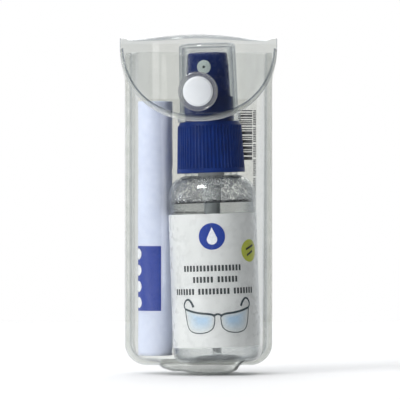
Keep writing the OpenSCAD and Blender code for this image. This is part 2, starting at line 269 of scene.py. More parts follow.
FILM_FRONT = vinyl("vinyl_front", (0.978, 0.981, 0.975), (0.91, 0.92, 0.91), 0.08)
FILM_BACK = vinyl("vinyl_back", (0.922, 0.926, 0.914), (0.82, 0.83, 0.82), 0.12)
FILM_FLAP = vinyl("vinyl_flap", (0.942, 0.947, 0.942), (0.86, 0.87, 0.86), 0.08)
FILM_GATHERED = vinyl("vinyl_gathered", (0.855, 0.858, 0.85), (0.72, 0.73, 0.72), 0.12,
                      ripple=(3, 0.12), span=(0.3, 1.0))
FILM_EDGE = clear("vinyl_cut_edge", (0.60, 0.63, 0.66), (0.30, 0.33, 0.38), rough=0.1, span=(0.1, 0.8))
WELD_RIDGE = clear("weld_ridge", (0.66, 0.69, 0.74), (0.26, 0.29, 0.36),
                   rough=0.1, mirror=0.05, span=(0.05, 0.8))
SOFT_RIDGE = clear("weld_ridge_soft", (0.84, 0.855, 0.86), (0.50, 0.53, 0.57),
                   rough=0.1, mirror=0.05, span=(0.2, 0.95))
WELD_BEAD = clear("weld_bead", (0.95, 0.955, 0.95), (0.72, 0.74, 0.75),
                  rough=0.12, mirror=0.06, haze=0.22, span=(0.2, 0.9))
WASHER_CLEAR = clear("washer_film", (0.93, 0.935, 0.94), (0.30, 0.33, 0.40),
                     rough=0.06, mirror=0.12, haze=0.10, span=(0.1, 0.8))
STICKER_CLEAR = clear("sticker_film", (0.965, 0.965, 0.955), (0.8, 0.8, 0.78), rough=0.12)
FLUID_CLEAR = clear("cleaning_fluid_clear", (0.905, 0.914, 0.918), (0.70, 0.72, 0.74),
                    mirror=0.01, rough=0.02, ripple=(12, 0.01))
POLYESTER = clear("polyester", (0.984, 0.987, 0.988), (0.74, 0.76, 0.77),
                  rough=0.03, ripple=(3, 0.03), mirror=0.06, span=(0.4, 1.0))
STYRENE = clear("styrene", (0.972, 0.977, 0.98), (0.66, 0.69, 0.72),
                rough=0.04, ripple=(10, 0.02), mirror=0.05, span=(0.3, 1.0))
# Water beads: their darker rim is painted shade for the light a real bead bends away, and their milky white
# share is a painted highlight for their sparkle.
DROPLET = clear("droplet_water", (1.0, 1.0, 1.0), (0.42, 0.435, 0.46), rough=0.02, ripple=(1, 0.01),
                mirror=0.28, haze=0.20, haze_color=(0.92, 0.95, 0.98), span=(0.2, 0.8))
# The fluid's edge is tinted dark grey: painted shade for the dark line that the curved fluid surface shows
# against the wall.
MENISCUS_SHADE = clear("fluid_edge_shade", (0.50, 0.52, 0.54), (0.10, 0.11, 0.13),
                 rough=0.05, ripple=(2, 0.05), mirror=0.1, span=(0.1, 0.8))
KNURLED = welded("knurled_weld")
WHITE_SNAP = moulded("acetal_white", (0.56, 0.58, 0.60), (0.60, 0.62, 0.64), rough=(0.30, 0.40), depth=0.004)
BLUE_CLOSURE = moulded("closure_blue", (0.003, 0.019, 0.125), (0.005, 0.027, 0.165),
                       rough=(0.30, 0.42), depth=0.004, Specular_IOR_Level=0.25)
BLUE_ACTUATOR = moulded("actuator_blue", (0.008, 0.024, 0.135), (0.012, 0.032, 0.18),
                        rough=(0.22, 0.32), depth=0.004, Specular_IOR_Level=0.35)
NATURAL_PP = moulded("polypropylene_natural", (0.72, 0.74, 0.73), (0.82, 0.83, 0.82), rough=(0.35, 0.5))
INSERT_PP = moulded("insert_natural", (0.74, 0.83, 0.80), (0.84, 0.90, 0.87), rough=(0.3, 0.4))
TUBE_PE = clear("polyethylene_tube", (0.80, 0.82, 0.83), (0.5, 0.53, 0.55), haze=0.3, rough=0.2)
ELASTOMER = moulded("gasket_foam", (0.70, 0.70, 0.67), (0.80, 0.80, 0.77), rough=(0.7, 0.85), depth=0.03)
STEEL = metal("stainless")
LABEL_FILM = moulded("label_white", (0.64, 0.65, 0.655), (0.68, 0.69, 0.695),
                     rough=(0.25, 0.32), grain=1.5, depth=0.004, coat=0.2)
INK_BLUE = printed("ink_blue", (0.012, 0.045, 0.32))
INK_CLOTH = printed("ink_cloth_blue", (0.012, 0.042, 0.32), 0.9)
INK_WHITE = printed("ink_white", (0.82, 0.84, 0.88))
# Dark grey ink for the rows of print on the label. The nozzle's hole uses it too, as painted shade.
GREY_INK_AND_HOLE_SHADE = printed("ink_dark_grey_and_hole_shade", (0.045, 0.055, 0.06))
INK_BLACK = printed("ink_black", (0.02, 0.02, 0.022))
INK_FRAME = printed("ink_frame", (0.04, 0.06, 0.075))
LENS_PALE, LENS_BLUE = (0.64, 0.67, 0.68), (0.42, 0.58, 0.76)
LENS_INKS = [printed(f"ink_lens_{i}", [p + (b - p) * i / 5 for p, b in zip(LENS_PALE, LENS_BLUE)])
             for i in range(6)]
INK_LIME = printed("ink_lime", (0.46, 0.50, 0.06))
CLOTH = microfibre()


# ---- Mesh helpers ----

def mesh_piece(name, verts, faces, material, body=None, smooth=True):
    """A mesh object from millimetre points. It rides on body, unless body is None."""
    mesh = bpy.data.meshes.new(name)
    mesh.from_pydata([tuple(c * MM for c in v) for v in verts], [], faces)
    mesh.validate()
    mesh.materials.append(material)
    mesh.polygons.foreach_set("use_smooth", [smooth] * len(mesh.polygons))
    made = bpy.data.objects.new(name, mesh)
    bpy.context.scene.collection.objects.link(made)
    if body:
        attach(made, body)
    return made


def grid_faces(rows, columns, closed=False):
    """Quads of a grid of points stored row by row. closed joins each row's two ends."""
    return [(r * columns + c, r * columns + (c + 1) % columns,
             (r + 1) * columns + (c + 1) % columns, (r + 1) * columns + c)
            for r in range(rows - 1) for c in range(columns if closed else columns - 1)]


def ring_faces(rows, columns):
    """Quads of a grid that is joined both ways, as on a ring: the last row meets the first."""
    last = (rows - 1) * columns
    return grid_faces(rows, columns, closed=True) + [
        (last + c, last + (c + 1) % columns, (c + 1) % columns, c) for c in range(columns)]


def apply_solidify(piece, thickness, offset=-1.0, rim=0):
    """Gives a sheet its thickness in millimetres. Offset -1 grows it against its normals. rim is
    how many material slots further on the cut edge's material is."""
    m = piece.modifiers.new("thickness", "SOLIDIFY")
    m.material_offset_rim = rim
    m.thickness = thickness * MM
    m.offset = offset
    m.use_even_offset = True
    bake_modifiers(piece)


def bake_modifiers(piece):
    """Makes the modifiers' result the piece's own mesh."""
    evaluated = piece.evaluated_get(bpy.context.evaluated_depsgraph_get())
    mesh = bpy.data.meshes.new_from_object(evaluated)
    piece.modifiers.clear()
    piece.data = mesh


def smoothstep(t):
    """Eases from 0 to 1 as t goes from 0 to 1."""
    t = min(1.0, max(0.0, t))
    return t * t * (3 - 2 * t)


def ring_points(x, y, z, r, count=72):
    """Points of a level circle."""
    return [(x + r * math.cos(2 * math.pi * i / count), y + r * math.sin(2 * math.pi * i / count), z)
            for i in range(count)]


def hull_of(points):
    """The convex hull of a cloud of points, as a tree to cast rays at."""
    bm = bmesh.new()
    for p in points:
        bm.verts.new(p)
    bmesh.ops.convex_hull(bm, input=bm.verts)
    tree = BVHTree.FromBMesh(bm)
    bm.free()
    return tree


def hit(tree, start, direction):
    """Where a ray first meets the tree, or None."""
    return tree.ray_cast(Vector(start), Vector(direction).normalized())[0]


# ---- Pouch: the front film, wrapped round what it holds ----

def bottle_rings(gap):
    """Rings round the bottle's heel and body, a little outside it."""
    points = []
    for angle in range(-90, 1, 15):
        a = math.radians(angle)
        r, z = BOTTLE_R - 3 + (3 + gap) * math.cos(a), 3 + (3 + gap) * math.sin(a)
        points += [in_bottle(r * math.cos(t), r * math.sin(t), z)
                   for t in np.linspace(0, 2 * math.pi, 73)[:-1]]
    points += [in_bottle((BOTTLE_R + gap) * math.cos(t), (BOTTLE_R + gap) * math.sin(t), 57)
               for t in np.linspace(0, 2 * math.pi, 73)[:-1]]
    return points


def foot_ring(z, grow):
    """Where the film stands: a rounded rectangle, a little larger as z rises."""
    points = []
    for i in range(64):
        t = 2 * math.pi * i / 64
        x = math.copysign(abs(math.cos(t)) ** 0.6, math.cos(t)) * (10.2 + grow)
        y = math.copysign(abs(math.sin(t)) ** 0.6, math.sin(t)) * (8 + grow)
        points.append((x, y - 2, z))
    return points


def rim_point(t, half, low, r):
    """A point of a pocket outline at angle t from the right side (0) to straight down (pi/2) or
    on to the left side (pi), seen from the point r above its lower edge and midway across."""
    c, s = math.cos(t), math.sin(t)
    flat = half - r
    if abs(c) < 1e-9:
        return 0.0, low
    reach = half / abs(c)
    if reach * s <= 0:
        return math.copysign(half, c), low + r
    down = r / s if s > 1e-9 else 1e9
    if abs(down * c) <= flat:
        return down * c, low
    # The arc round the corner's centre (flat, 0)
    b = abs(c) * flat
    k = b + math.sqrt(max(0.0, b * b - flat * flat + r * r))
    return k * c, low + r - k * s


def front_film():
    """The pouch's front film, drawn tight over the bottle and the roll."""
    gap = 0.55
    low = BACK_LOW.z + WELD
    points = bottle_rings(gap + 0.2)
    points += ring_points(ROLL.x, ROLL.y, ROLL_LOW.z - 0.3, ROLL_R + gap + 0.1)
    points += ring_points(ROLL.x, ROLL.y, MOUTH_Z + 2, ROLL_R + gap)
    for z, grow in ((0.02, 0), (0.35, 1.4), (1.2, 2.6), (2.6, 3.4)):
        points += foot_ring(z, grow)
    for x in (-4.0, 3.2):
        points += ring_points(x, 0, MOUTH_Z + 2, 11.0)
    points += [(side * SEAM_W, SEAM_Y, z) for side in (-1, 1)
               for z in np.linspace(low + CORNER - WELD, MOUTH_Z + 2, 24)]
    points += [(x, SEAM_Y, z) for x, z in
               (rim_point(t, SEAM_W, low, CORNER - WELD) for t in np.linspace(0, math.pi, 65))]
    tree = hull_of(points)
    columns = 121
    pivot = low + CORNER - WELD
    around = np.linspace(0, math.pi, columns)
    rows = []
    for z in np.linspace(MOUTH_Z, pivot, 76):
        row = []
        for a in around:
            sag = 0.8 * math.sin(a) ** 2 * smoothstep((z - MOUTH_Z + 12) / 12)
            p = hit(tree, (0, SEAM_Y, z - sag), (math.cos(a), -math.sin(a) - 1e-6, 0))
            row.append(p)
        rows.append(row)
    for e in np.linspace(0, math.pi / 2, 34)[1:]:
        row = []
        for a in around:
            p = hit(tree, (0, SEAM_Y, pivot),
                    (math.cos(e) * math.cos(a), -math.cos(e) * math.sin(a) - 1e-6, -math.sin(e)))
            row.append(p)
        rows.append(row)
    pts = np.array([[list(p) for p in row] for row in rows])
    relax(pts, 10)
    shape_bottom(pts, low)
    pucker(pts, around, pivot)
    verts = pts.reshape(-1, 3)
    film = mesh_piece("pouch_front_film", verts, grid_faces(len(rows), columns), FILM_FRONT)
    film.data.materials.append(FILM_EDGE)
    film.data.materials.append(FILM_GATHERED)
    for face in film.data.polygons:
        if face.center.z < (low - 0.2) * MM and abs(face.center.x) < 14.6 * MM:
            face.material_index = 2
    apply_solidify(film, FILM - 0.02, rim=1)
    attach(film, "pouch")
    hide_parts("pouch_front_panel")
    return film


def relax(pts, times):
    """Softens a grid's creases. Its border stays."""
    for _ in range(times):
        inner = (pts[:-2, 1:-1] + pts[2:, 1:-1] + pts[1:-1, :-2] + pts[1:-1, 2:]) / 4
        pts[1:-1, 1:-1] = pts[1:-1, 1:-1] * 0.5 + inner * 0.5


def shape_bottom(pts, low):
    """The film hangs below the weld only under the bottle, lowest at the right."""
    for r in range(1, len(pts) - 1):
        for c in range(1, pts.shape[1] - 1):
            x, _, z = pts[r, c]
            if z < low:
                z += (low - z) * 0.95 * smoothstep((abs(x - 0.4) - 12.4) / 2.2)
            under = smoothstep((3.2 - z) / 2)
            z += under * (1.0 * smoothstep((1 - x) / 9) + 0.14 * (1 + math.sin(x * 1.05 + 0.6)))
            pts[r, c, 2] = z


def pucker(pts, around, pivot):
    """Small waves where the film gathers at the round corners, and slow ones up the walls."""
    for r in range(1, len(pts) - 1):
        for c in range(1, len(around) - 1):
            x, _, z = pts[r, c]
            edge = min(c, len(around) - 1 - c) / len(around)
            near = math.exp(-((edge - 0.06) / 0.05) ** 2)
            low = smoothstep((pivot + 14 - z) / 14)
            wave = 0.30 * near * low * math.sin(z * 1.9 + x * 0.35)
            wave += 0.10 * math.sin(z * 0.16 + x * 0.5) * math.sin(c * 0.35) * smoothstep(edge * 8)
            pts[r, c, 1] += wave * (1 if z > 3 else 0)


# ---- Pouch: one sheet of film makes the back and the flap ----

def plan_curve(tree, z, columns):
    """The flap's bend in plan, from the right ear round the front to the left one."""
    return [hit(tree, (0, FOLD.y - 1.4, z), (math.cos(a), -math.sin(a) - 1e-6, 0))
            for a in np.linspace(0, math.pi, columns)]


def flap_tree():
    """What the flap is drawn over, as a tree for rays."""
    points = []
    for z in (60, 130):
        for x in (-4.0, 3.4):
            points += ring_points(x, 0, z, FLAP_R - 0.05)
        points += ring_points(ROLL.x, ROLL.y, z, ROLL_R + 1.75)
        points += [(side * (EAR_W - 0.1), FOLD.y - 1.4, z) for side in (-1, 1)]
    return hull_of(points)


def flap_edge_z(x, cut=0.0):
    """Height of the flap's lower edge at x: a superellipse hung from the ears."""
    a, b = EAR_W - cut, FLAP_DROP - cut
    u = min(1.0, abs(x) / a)
    return FOLD.z - b * (1 - u ** FLAP_POWER) ** (1 / FLAP_POWER)


def fold_height(x):
    """Top of the fold: a low hump over the bottle, and the ears a little up."""
    return FLAP_HIGH.z - 1.0 + 0.95 * math.exp(-(x / 12) ** 2) + 0.75 * smoothstep((abs(x) - 23) / 2.5)


def back_half_width(z):
    """Half width of the back panel at a height, less at the round corners."""
    low = BACK_LOW.z
    if z < low + CORNER:
        d = low + CORNER - z
        return HALF_W - CORNER + math.sqrt(max(0.0, CORNER ** 2 - d * d))
    return HALF_W + (EAR_W - HALF_W) * smoothstep((z - 99) / 10)


def flap_film():
    """Back panel, fold and flap as one grid: rows run up the back, over and down the front."""
    columns = 97
    bend = plan_curve(flap_tree(), 100, columns)
    across = np.linspace(1, -1, columns)
    rows = []
    heights = [BACK_LOW.z + CORNER * (1 - math.cos(a)) for a in np.linspace(0, math.pi / 2, 12)]
    heights += list(np.linspace(heights[-1], FOLD.z - 0.9, 46))[1:]
    for z in heights:
        rows.append([(s * back_half_width(z), BACK_Y + 0.05 * math.sin(z * 0.12 + s * 3), z) for s in across])
    back_rows = len(rows) - 1
    for a in np.linspace(0, math.pi / 2, 5)[1:]:
        row = []
        for s in across:
            top = fold_height(s * EAR_W)
            row.append((s * EAR_W, BACK_Y - 0.95 * (1 - math.cos(a)),
                        FOLD.z - 0.9 + (top - FOLD.z + 0.9) * math.sin(a)))
        rows.append(row)
    back_row = rows[-1]
    for t in np.linspace(0, 1, 15)[1:]:
        row = []
        for c in range(columns):
            x0, y0, _ = back_row[c]
            end = bend[c]
            length = math.hypot(end.x - x0, end.y - y0)
            turn = min(1.6, length * 0.4) / max(length, 1e-6)
            u = t * (1 - turn)
            x, y = x0 + (end.x - x0) * u, y0 + (end.y - y0) * u
            row.append((x, y, fold_height(x)))
        rows.append(row)
    top_row = rows[-1]
    for a in np.linspace(0, math.pi / 2, 6)[1:]:
        row = []
        for c in range(columns):
            x0, y0, z0 = top_row[c]
            end = bend[c]
            room = math.hypot(end.x - x0, end.y - y0)
            drop = min(room, z0 - flap_edge_z(end.x)) * 0.98
            row.append((x0 + (end.x - x0) * math.sin(a), y0 + (end.y - y0) * math.sin(a),
                        z0 - drop * (1 - math.cos(a))))
        rows.append(row)
    shoulder = rows[-1]
    for t in np.linspace(0, 1, 25)[1:]:
        row = []
        for c in range(columns):
            x0, y0, z0 = shoulder[c]
            low = min(flap_edge_z(x0), z0 - 0.02)
            row.append((x0, y0, z0 + (low - z0) * t))
        rows.append(row)
    verts = [p for row in rows for p in row]
    film = mesh_piece("pouch_back_and_flap_film", verts, grid_faces(len(rows), columns), FILM_FLAP)
    film.data.materials.append(FILM_BACK)
    film.data.materials.append(FILM_EDGE)
    for face in film.data.polygons:
        face.material_index = 1 if face.index // (columns - 1) < back_rows else 0
    apply_solidify(film, FILM - 0.02, offset=0.0, rim=2)
    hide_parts("pouch_back_panel", "flap_panel")
    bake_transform(film)
    return film


def bead(name, path, inward, outward, body, replaced, ridge=None):
    """A welded band along a path: a rounded lip at its outer edge, a knurled strip, and a raised
    ridge at its inner edge. inward points across the band, outward off the film."""
    profile = [(0.0, -0.18), (-0.04, 0.06), (0.08, 0.24), (0.34, 0.26), (0.50, 0.12), (WELD - 0.62, 0.10),
               (WELD - 0.46, 0.27), (WELD - 0.22, 0.30), (WELD - 0.04, 0.12), (WELD, -0.18)]
    looks = [0, 0, 0, 0, 1, 2, 2, 2, 2, 1]
    verts = []
    for p, across, off in zip(path, inward, outward):
        verts += [tuple(p + across * u + off * v) for u, v in profile]
    n = len(profile)
    faces = grid_faces(len(path), n, closed=True)
    faces.append(tuple(range(n)))
    faces.append(tuple(reversed(range((len(path) - 1) * n, len(path) * n))))
    piece = mesh_piece(name, verts, faces, WELD_BEAD)
    piece.data.materials.append(KNURLED)
    piece.data.materials.append(ridge or WELD_RIDGE)
    for face in piece.data.polygons[:-2]:
        face.material_index = looks[face.index % n]
    fix_normals(piece)
    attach(piece, body)
    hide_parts(*replaced)
    return piece


def fix_normals(piece):
    """Turns a closed mesh's faces outwards."""
    bm = bmesh.new()
    bm.from_mesh(piece.data)
    bmesh.ops.recalc_face_normals(bm, faces=bm.faces)
    bm.to_mesh(piece.data)
    bm.free()


def pouch_weld():
    """The band down one side, round the bottom and up the other."""
    low, centre_x = BACK_LOW.z, HALF_W - CORNER
    path, inward = [], []
    for z in np.linspace(MOUTH_Z, low + CORNER, 60):
        path.append(Vector((HALF_W, SEAM_Y + 0.2, z)))
        inward.append(Vector((-1, 0, 0)))
    for a in np.linspace(0, math.pi / 2, 24)[1:]:
        path.append(Vector((centre_x + CORNER * math.cos(a), SEAM_Y + 0.2, low + CORNER * (1 - math.sin(a)))))
        inward.append(Vector((-math.cos(a), 0, math.sin(a))))
    for x in np.linspace(centre_x, -centre_x, 30)[1:-1]:
        path.append(Vector((x, SEAM_Y + 0.2, low)))
        inward.append(Vector((0, 0, 1)))
    for a in np.linspace(math.pi / 2, math.pi, 24):
        path.append(Vector((-centre_x + CORNER * math.cos(a), SEAM_Y + 0.2,
                            low + CORNER * (1 - math.sin(a)))))
        inward.append(Vector((-math.cos(a), 0, math.sin(a))))
    for z in np.linspace(low + CORNER, MOUTH_Z, 60)[1:]:
        path.append(Vector((-HALF_W, SEAM_Y + 0.2, z)))
        inward.append(Vector((1, 0, 0)))
    outward = [Vector((0, -1, 0))] * len(path)
    return bead("pouch_weld_bead", path, inward, outward, "pouch", ["pouch_weld_band"], SOFT_RIDGE)


def flap_weld():
    """The band along the flap's edge, from one ear round the tip to the other."""
    tree = flap_tree()
    path, inward, outward = [], [], []
    samples = plan_curve(tree, 100, 193)
    for i, p in enumerate(samples):
        before, after = samples[max(0, i - 1)], samples[min(len(samples) - 1, i + 1)]
        here = Vector((p.x, p.y, flap_edge_z(p.x)))
        b = Vector((before.x, before.y, flap_edge_z(before.x)))
        a = Vector((after.x, after.y, flap_edge_z(after.x)))
        along = (a - b).normalized()
        level = Vector((after.x - before.x, after.y - before.y, 0)).normalized()
        off = Vector((-level.y, level.x, 0))
        if off.y > 0:
            off = -off
        across = off.cross(along).normalized()
        path.append(here)
        inward.append(across)
        outward.append(off)
    tip = len(path) // 2                      # across points up at the tip, and keeps its side from there
    if inward[tip].z < 0:
        inward[tip] = -inward[tip]
    for i in [*range(tip + 1, len(path)), *range(tip - 1, -1, -1)]:
        beside = inward[i - 1] if i > tip else inward[i + 1]
        if inward[i].dot(beside) < 0:
            inward[i] = -inward[i]
    return bead("flap_weld_bead", path, inward, outward, "flap", ["flap_weld_band"])


# ---- Cloth: a sheet folded in half and rolled up ----


ROLL_PITCH = 0.711  # from one turn to the next: the spiral is 150 mm long
ROLL_START = 1.05  # radius of the innermost turn
ROLL_END = ROLL_R + 0.02  # radius of the outer turn's free edge
ROLL_TURNS = (ROLL_END - ROLL_START) / ROLL_PITCH
FREE_EDGE = math.radians(75)  # direction of the outer turn's free edge, at the back


def roll_radius(a, z):
    """Radius of the folded sheet's middle at the angle a, counted back from the free edge."""
    dent = 0.07 * math.sin(z * 0.11 + a) + 0.05 * math.sin(z * 0.31 - 2 * a)
    dent -= 0.30 * math.exp(-((z - 62.9) / 0.4) ** 2) + 0.14 * math.exp(-((z - 42.6) / 0.5) ** 2)
    r = ROLL_END + (a - FREE_EDGE) / (2 * math.pi) * ROLL_PITCH
    return r + dent * (r / ROLL_R) ** 2


def cloth_roll():
    """The cloth, folded in half with the fold at the top and rolled up."""
    layer = 0.15                              # each layer's distance from the fold's middle
    steps = int(ROLL_TURNS * 44)
    height = ROLL_HIGH.z - ROLL_LOW.z
    up = list(np.linspace(0, height - layer, 60))
    rows = [(z, layer) for z in up]
    rows += [(height - layer + layer * math.sin(a), layer * math.cos(a))
             for a in np.linspace(0, math.pi, 7)[1:-1]]
    rows += [(z, -layer) for z in reversed(up)]
    verts = []
    for z, off in rows:
        for i in range(steps + 1):
            a = FREE_EDGE - 2 * math.pi * ROLL_TURNS * (1 - i / steps)
            r = roll_radius(a, z) + off
            verts.append((ROLL.x + r * math.cos(a), ROLL.y + r * math.sin(a), ROLL.z + z))
    cloth = mesh_piece("rolled_cloth", verts, grid_faces(len(rows), steps + 1), CLOTH)
    apply_solidify(cloth, 0.26, offset=0.0)
    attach(cloth, "cloth")
    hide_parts("cleaning_cloth")
    return cloth


# ---- Print: flat shapes laid on a curved or flat surface ----

def disc(x, z, rx, rz=None, count=48):
    """Outline of a disc or an ellipse."""
    rz = rz or rx
    return [(x + rx * math.cos(2 * math.pi * i / count), z + rz * math.sin(2 * math.pi * i / count))
            for i in range(count)]


def box_shape(x0, z0, x1, z1):
    """Outline of a box."""
    return [(x0, z0), (x1, z0), (x1, z1), (x0, z1)]


def stroke(points, width, taper=None):
    """Quads along a polyline, as separate outlines. taper maps 0..1 along it to a width share."""
    shapes, pts = [], [Vector(p) for p in points]
    sides = []
    for i, p in enumerate(pts):
        d = (pts[min(i + 1, len(pts) - 1)] - pts[max(i - 1, 0)]).normalized()
        n = Vector((-d.y, d.x))
        w = width / 2 * (taper(i / (len(pts) - 1)) if taper else 1)
        sides.append((p + n * w, p - n * w))
    for (a, b), (c, d) in zip(sides, sides[1:]):
        shapes.append([tuple(a), tuple(b), tuple(d), tuple(c)])
    return shapes


def lay(name, outlines, place, material, body, with_cuts=True, step_up=0):
    """Lays flat outlines (across, up) on a surface: place turns a flat point to the row frame.
    step_up cuts them across as well, where the surface isn't straight."""
    bm = bmesh.new()
    for outline in outlines:
        verts = [bm.verts.new((x, z, 0)) for x, z in outline]
        bm.faces.new(verts)
    if with_cuts:
        xs = [v.co.x for v in bm.verts]
        for x in np.arange(math.floor(min(xs)) + 0.5, max(xs), 0.8):
            bmesh.ops.bisect_plane(bm, geom=bm.verts[:] + bm.edges[:] + bm.faces[:],
                                   plane_co=(x, 0, 0), plane_no=(1, 0, 0))
    if step_up:
        ups = [v.co.y for v in bm.verts]
        for z in np.arange(min(ups) + step_up, max(ups), step_up):
            bmesh.ops.bisect_plane(bm, geom=bm.verts[:] + bm.edges[:] + bm.faces[:],
                                   plane_co=(0, z, 0), plane_no=(0, 1, 0))
    bmesh.ops.triangulate(bm, faces=bm.faces[:])
    bm.verts.index_update()
    verts = [tuple(place(v.co.x, v.co.y)) for v in bm.verts]
    faces = [[v.index for v in f.verts] for f in bm.faces]
    bm.free()
    return mesh_piece(name, verts, faces, material, body)


def on_label(lift):
    """Places label art: across runs round the bottle from straight ahead, to the right."""
    r = LABEL_R + lift

    def place(s, z):
        a = s / LABEL_R
        return in_bottle(r * math.sin(a), -r * math.cos(a), z)
    return place


def on_roll(lift):
    """Places print on the roll's outer turn: across runs round it from straight ahead."""
    def place(s, z):
        a = s / ROLL_R - math.pi / 2
        r = roll_radius(a, z) + 0.29 + lift
        return Vector((ROLL.x + r * math.cos(a), ROLL.y + r * math.sin(a), ROLL.z + z))
    return place


def on_back(lift):
    """Places a flat point on the information sticker, lift millimetres above it."""
    return lambda x, z: Vector((x, STICKER_HIGH.y + lift, z))


def greeked(rng, x0, x1, z, height, words=3):
    """A row of small upright blocks that stands for a line of print."""
    shapes, x, pitch = [], x0, height * 0.62
    breaks = [x0 + (x1 - x0) * (k + rng.uniform(-0.2, 0.2)) / words for k in range(1, words)]
    while x < x1 - pitch * 0.5:
        if breaks and x > breaks[0]:
            breaks.pop(0)
            x += pitch * 0.9
            continue
        shapes.append(box_shape(x, z, x + pitch * 0.62, z + height))
        x += pitch
    return shapes


def label_art():
    """The label's badge and its rows of blocks in place of words."""
    rng = random.Random(4)
    lay("label_emblem", [disc(-0.5, 42.6, 4.5)], on_label(0.03), INK_BLUE, "bottle")
    drop = [(-0.5 + 1.75 * math.cos(a), 41.6 + 1.75 * math.sin(a))
            for a in np.linspace(math.radians(160), math.radians(380), 30)]
    drop.append((-0.5, 45.7))
    lay("label_emblem_drop", [drop], on_label(0.06), INK_WHITE, "bottle")
    rows = greeked(rng, -11.2, 10.4, 30.9, 2.0, 1)
    rows += greeked(rng, -7.6, 8.2, 27.1, 2.0, 2)
    rows += greeked(rng, -15.6, 15.2, 23.1, 2.0, 3)
    lay("label_print", rows, on_label(0.03), GREY_INK_AND_HOLE_SHADE, "bottle")
    spectacles()


def spectacles():
    """A plain pair of spectacles seen from the front: a heavy brow line with raised outer corners,
    thin lower rims, and the temples folded behind. u runs outwards from each lens's middle."""
    lens = [(5.6, 4.3), (2.6, 3.4), (-0.5, 2.8), (-3.4, 2.5), (-5.0, 1.8), (-5.1, 0.0), (-4.5, -2.2),
            (-2.4, -3.6), (1.0, -3.9), (3.7, -2.9), (4.9, -0.4), (5.6, 4.3)]
    temple = [(5.5, 4.1), (6.1, 5.5), (5.4, 7.0), (4.2, 7.5), (3.0, 6.5), (2.2, 4.9)]
    lines = []
    for side, tag in ((-1, "left"), (1, "right")):
        def at(points, side=side):
            return [(side * (6.2 + u) + 0.6, 14.0 + v) for u, v in points]
        rim = curve_through(at(lens))
        for i, ink in enumerate(LENS_INKS):
            share = 1 - 0.13 * i
            tint = [(u * share - 0.14 * i, v * share * (1 - 0.05 * i) + 0.1 * i) for u, v in lens]
            lay(f"label_lens_{tag}_{i}", [curve_through(at(tint))[:-1]], on_label(0.02 + 0.006 * i), ink,
                "bottle")
        lines += stroke(rim, 0.42, lambda t: 1.7 if t < 0.38 else 0.8)
        lines += stroke(curve_through(at(temple)), 0.62, lambda t: 0.75 + 0.6 * t)
    bridge = [(-0.7, 15.9), (0.0, 16.3), (0.6, 16.4), (1.2, 16.3), (1.9, 15.9)]
    lines += stroke(curve_through(bridge), 0.7)
    lay("label_spectacles", lines, on_label(0.06), INK_FRAME, "bottle", with_cuts=False)


def curve_through(points, per=8):
    """A smooth line through the points (Catmull-Rom)."""
    pts = [Vector(p) for p in points]
    pts = [2 * pts[0] - pts[1]] + pts + [2 * pts[-1] - pts[-2]]
    made = []
    for i in range(1, len(pts) - 2):
        a, b, c, d = pts[i - 1:i + 3]
        for k in range(per):
            t = k / per
            made.append(0.5 * (2 * b + (c - a) * t + (2 * a - 5 * b + 4 * c - d) * t ** 2
                               + (3 * b - a - 3 * c + d) * t ** 3))
    made.append(pts[-2])
    return [tuple(p) for p in made]


def promo_art():
    """Two slanted dark bars on the small round sticker."""
    centre = LABEL_R * math.radians(53.2)
    bars = []
    for dz, half in ((0.95, 1.9), (-1.05, 1.5)):
        bars.append([(centre - half, 37.4 + dz - 0.9), (centre + half, 37.4 + dz + 0.5),
                     (centre + half, 37.4 + dz + 1.25), (centre - half, 37.4 + dz - 0.15)])
    lay("promo_bars", bars, on_label(0.17), INK_BLACK, "bottle")


def cloth_art():
    """A blue printed panel with plain white discs down its edge."""
    z0, z1 = 15.3, 37.4
    lay("cloth_print", [box_shape(-12.5, z0, 2.25, z1)], on_roll(0.04), INK_CLOTH,
        "cloth", step_up=0.9)
    marks = [disc(-7.0, z0 + (i + 0.5) * (z1 - z0) / 4, 1.9, 1.9, 32) for i in range(4)]
    lay("cloth_print_marks", marks, on_roll(0.07), INK_WHITE, "cloth", step_up=0.9)


def info_art():
    """Bars and rows of print on the clear sticker behind the pouch. The bars code nothing."""
    rng = random.Random(11)
    bars, z = [], 73.0
    while z < 90.5:
        w = rng.choice((0.42, 0.42, 0.75, 1.1))
        bars.append(box_shape(13.7, z, 18.5, z + w))
        z += w + rng.choice((0.24, 0.3, 0.45))
    lay("info_bars", bars, on_back(0.02), INK_BLACK, "pouch", with_cuts=False)
    rows = []
    for z in (46.2, 47.8, 49.4, 51.0, 54.6):
        rows += greeked(rng, -16.4, rng.uniform(5, 12), z, 0.62, 4)
    for x, z0, z1 in ((18.8, 50, 90),):
        for piece in greeked(rng, z0, z1, 0, 0.95, 7):
            rows.append([(x + v, u) for u, v in piece])
    lay("info_print", rows, on_back(0.02), INK_BLACK, "pouch", with_cuts=False)


# ---- Bottle: droplets left on the inside above the fluid ----

def inner_wall(z):
    """Inner radius of the bottle at height z, for the shoulder, and its slope's angle."""
    r_out, shoulder = 6.6, 56.6
    if z <= shoulder:
        return BOTTLE_R - 0.7, 0.0
    s = min(0.985, (z - shoulder) / (r_out - 0.7))
    a = math.asin(s)
    return BOTTLE_R - r_out + (r_out - 0.7) * math.cos(a), a


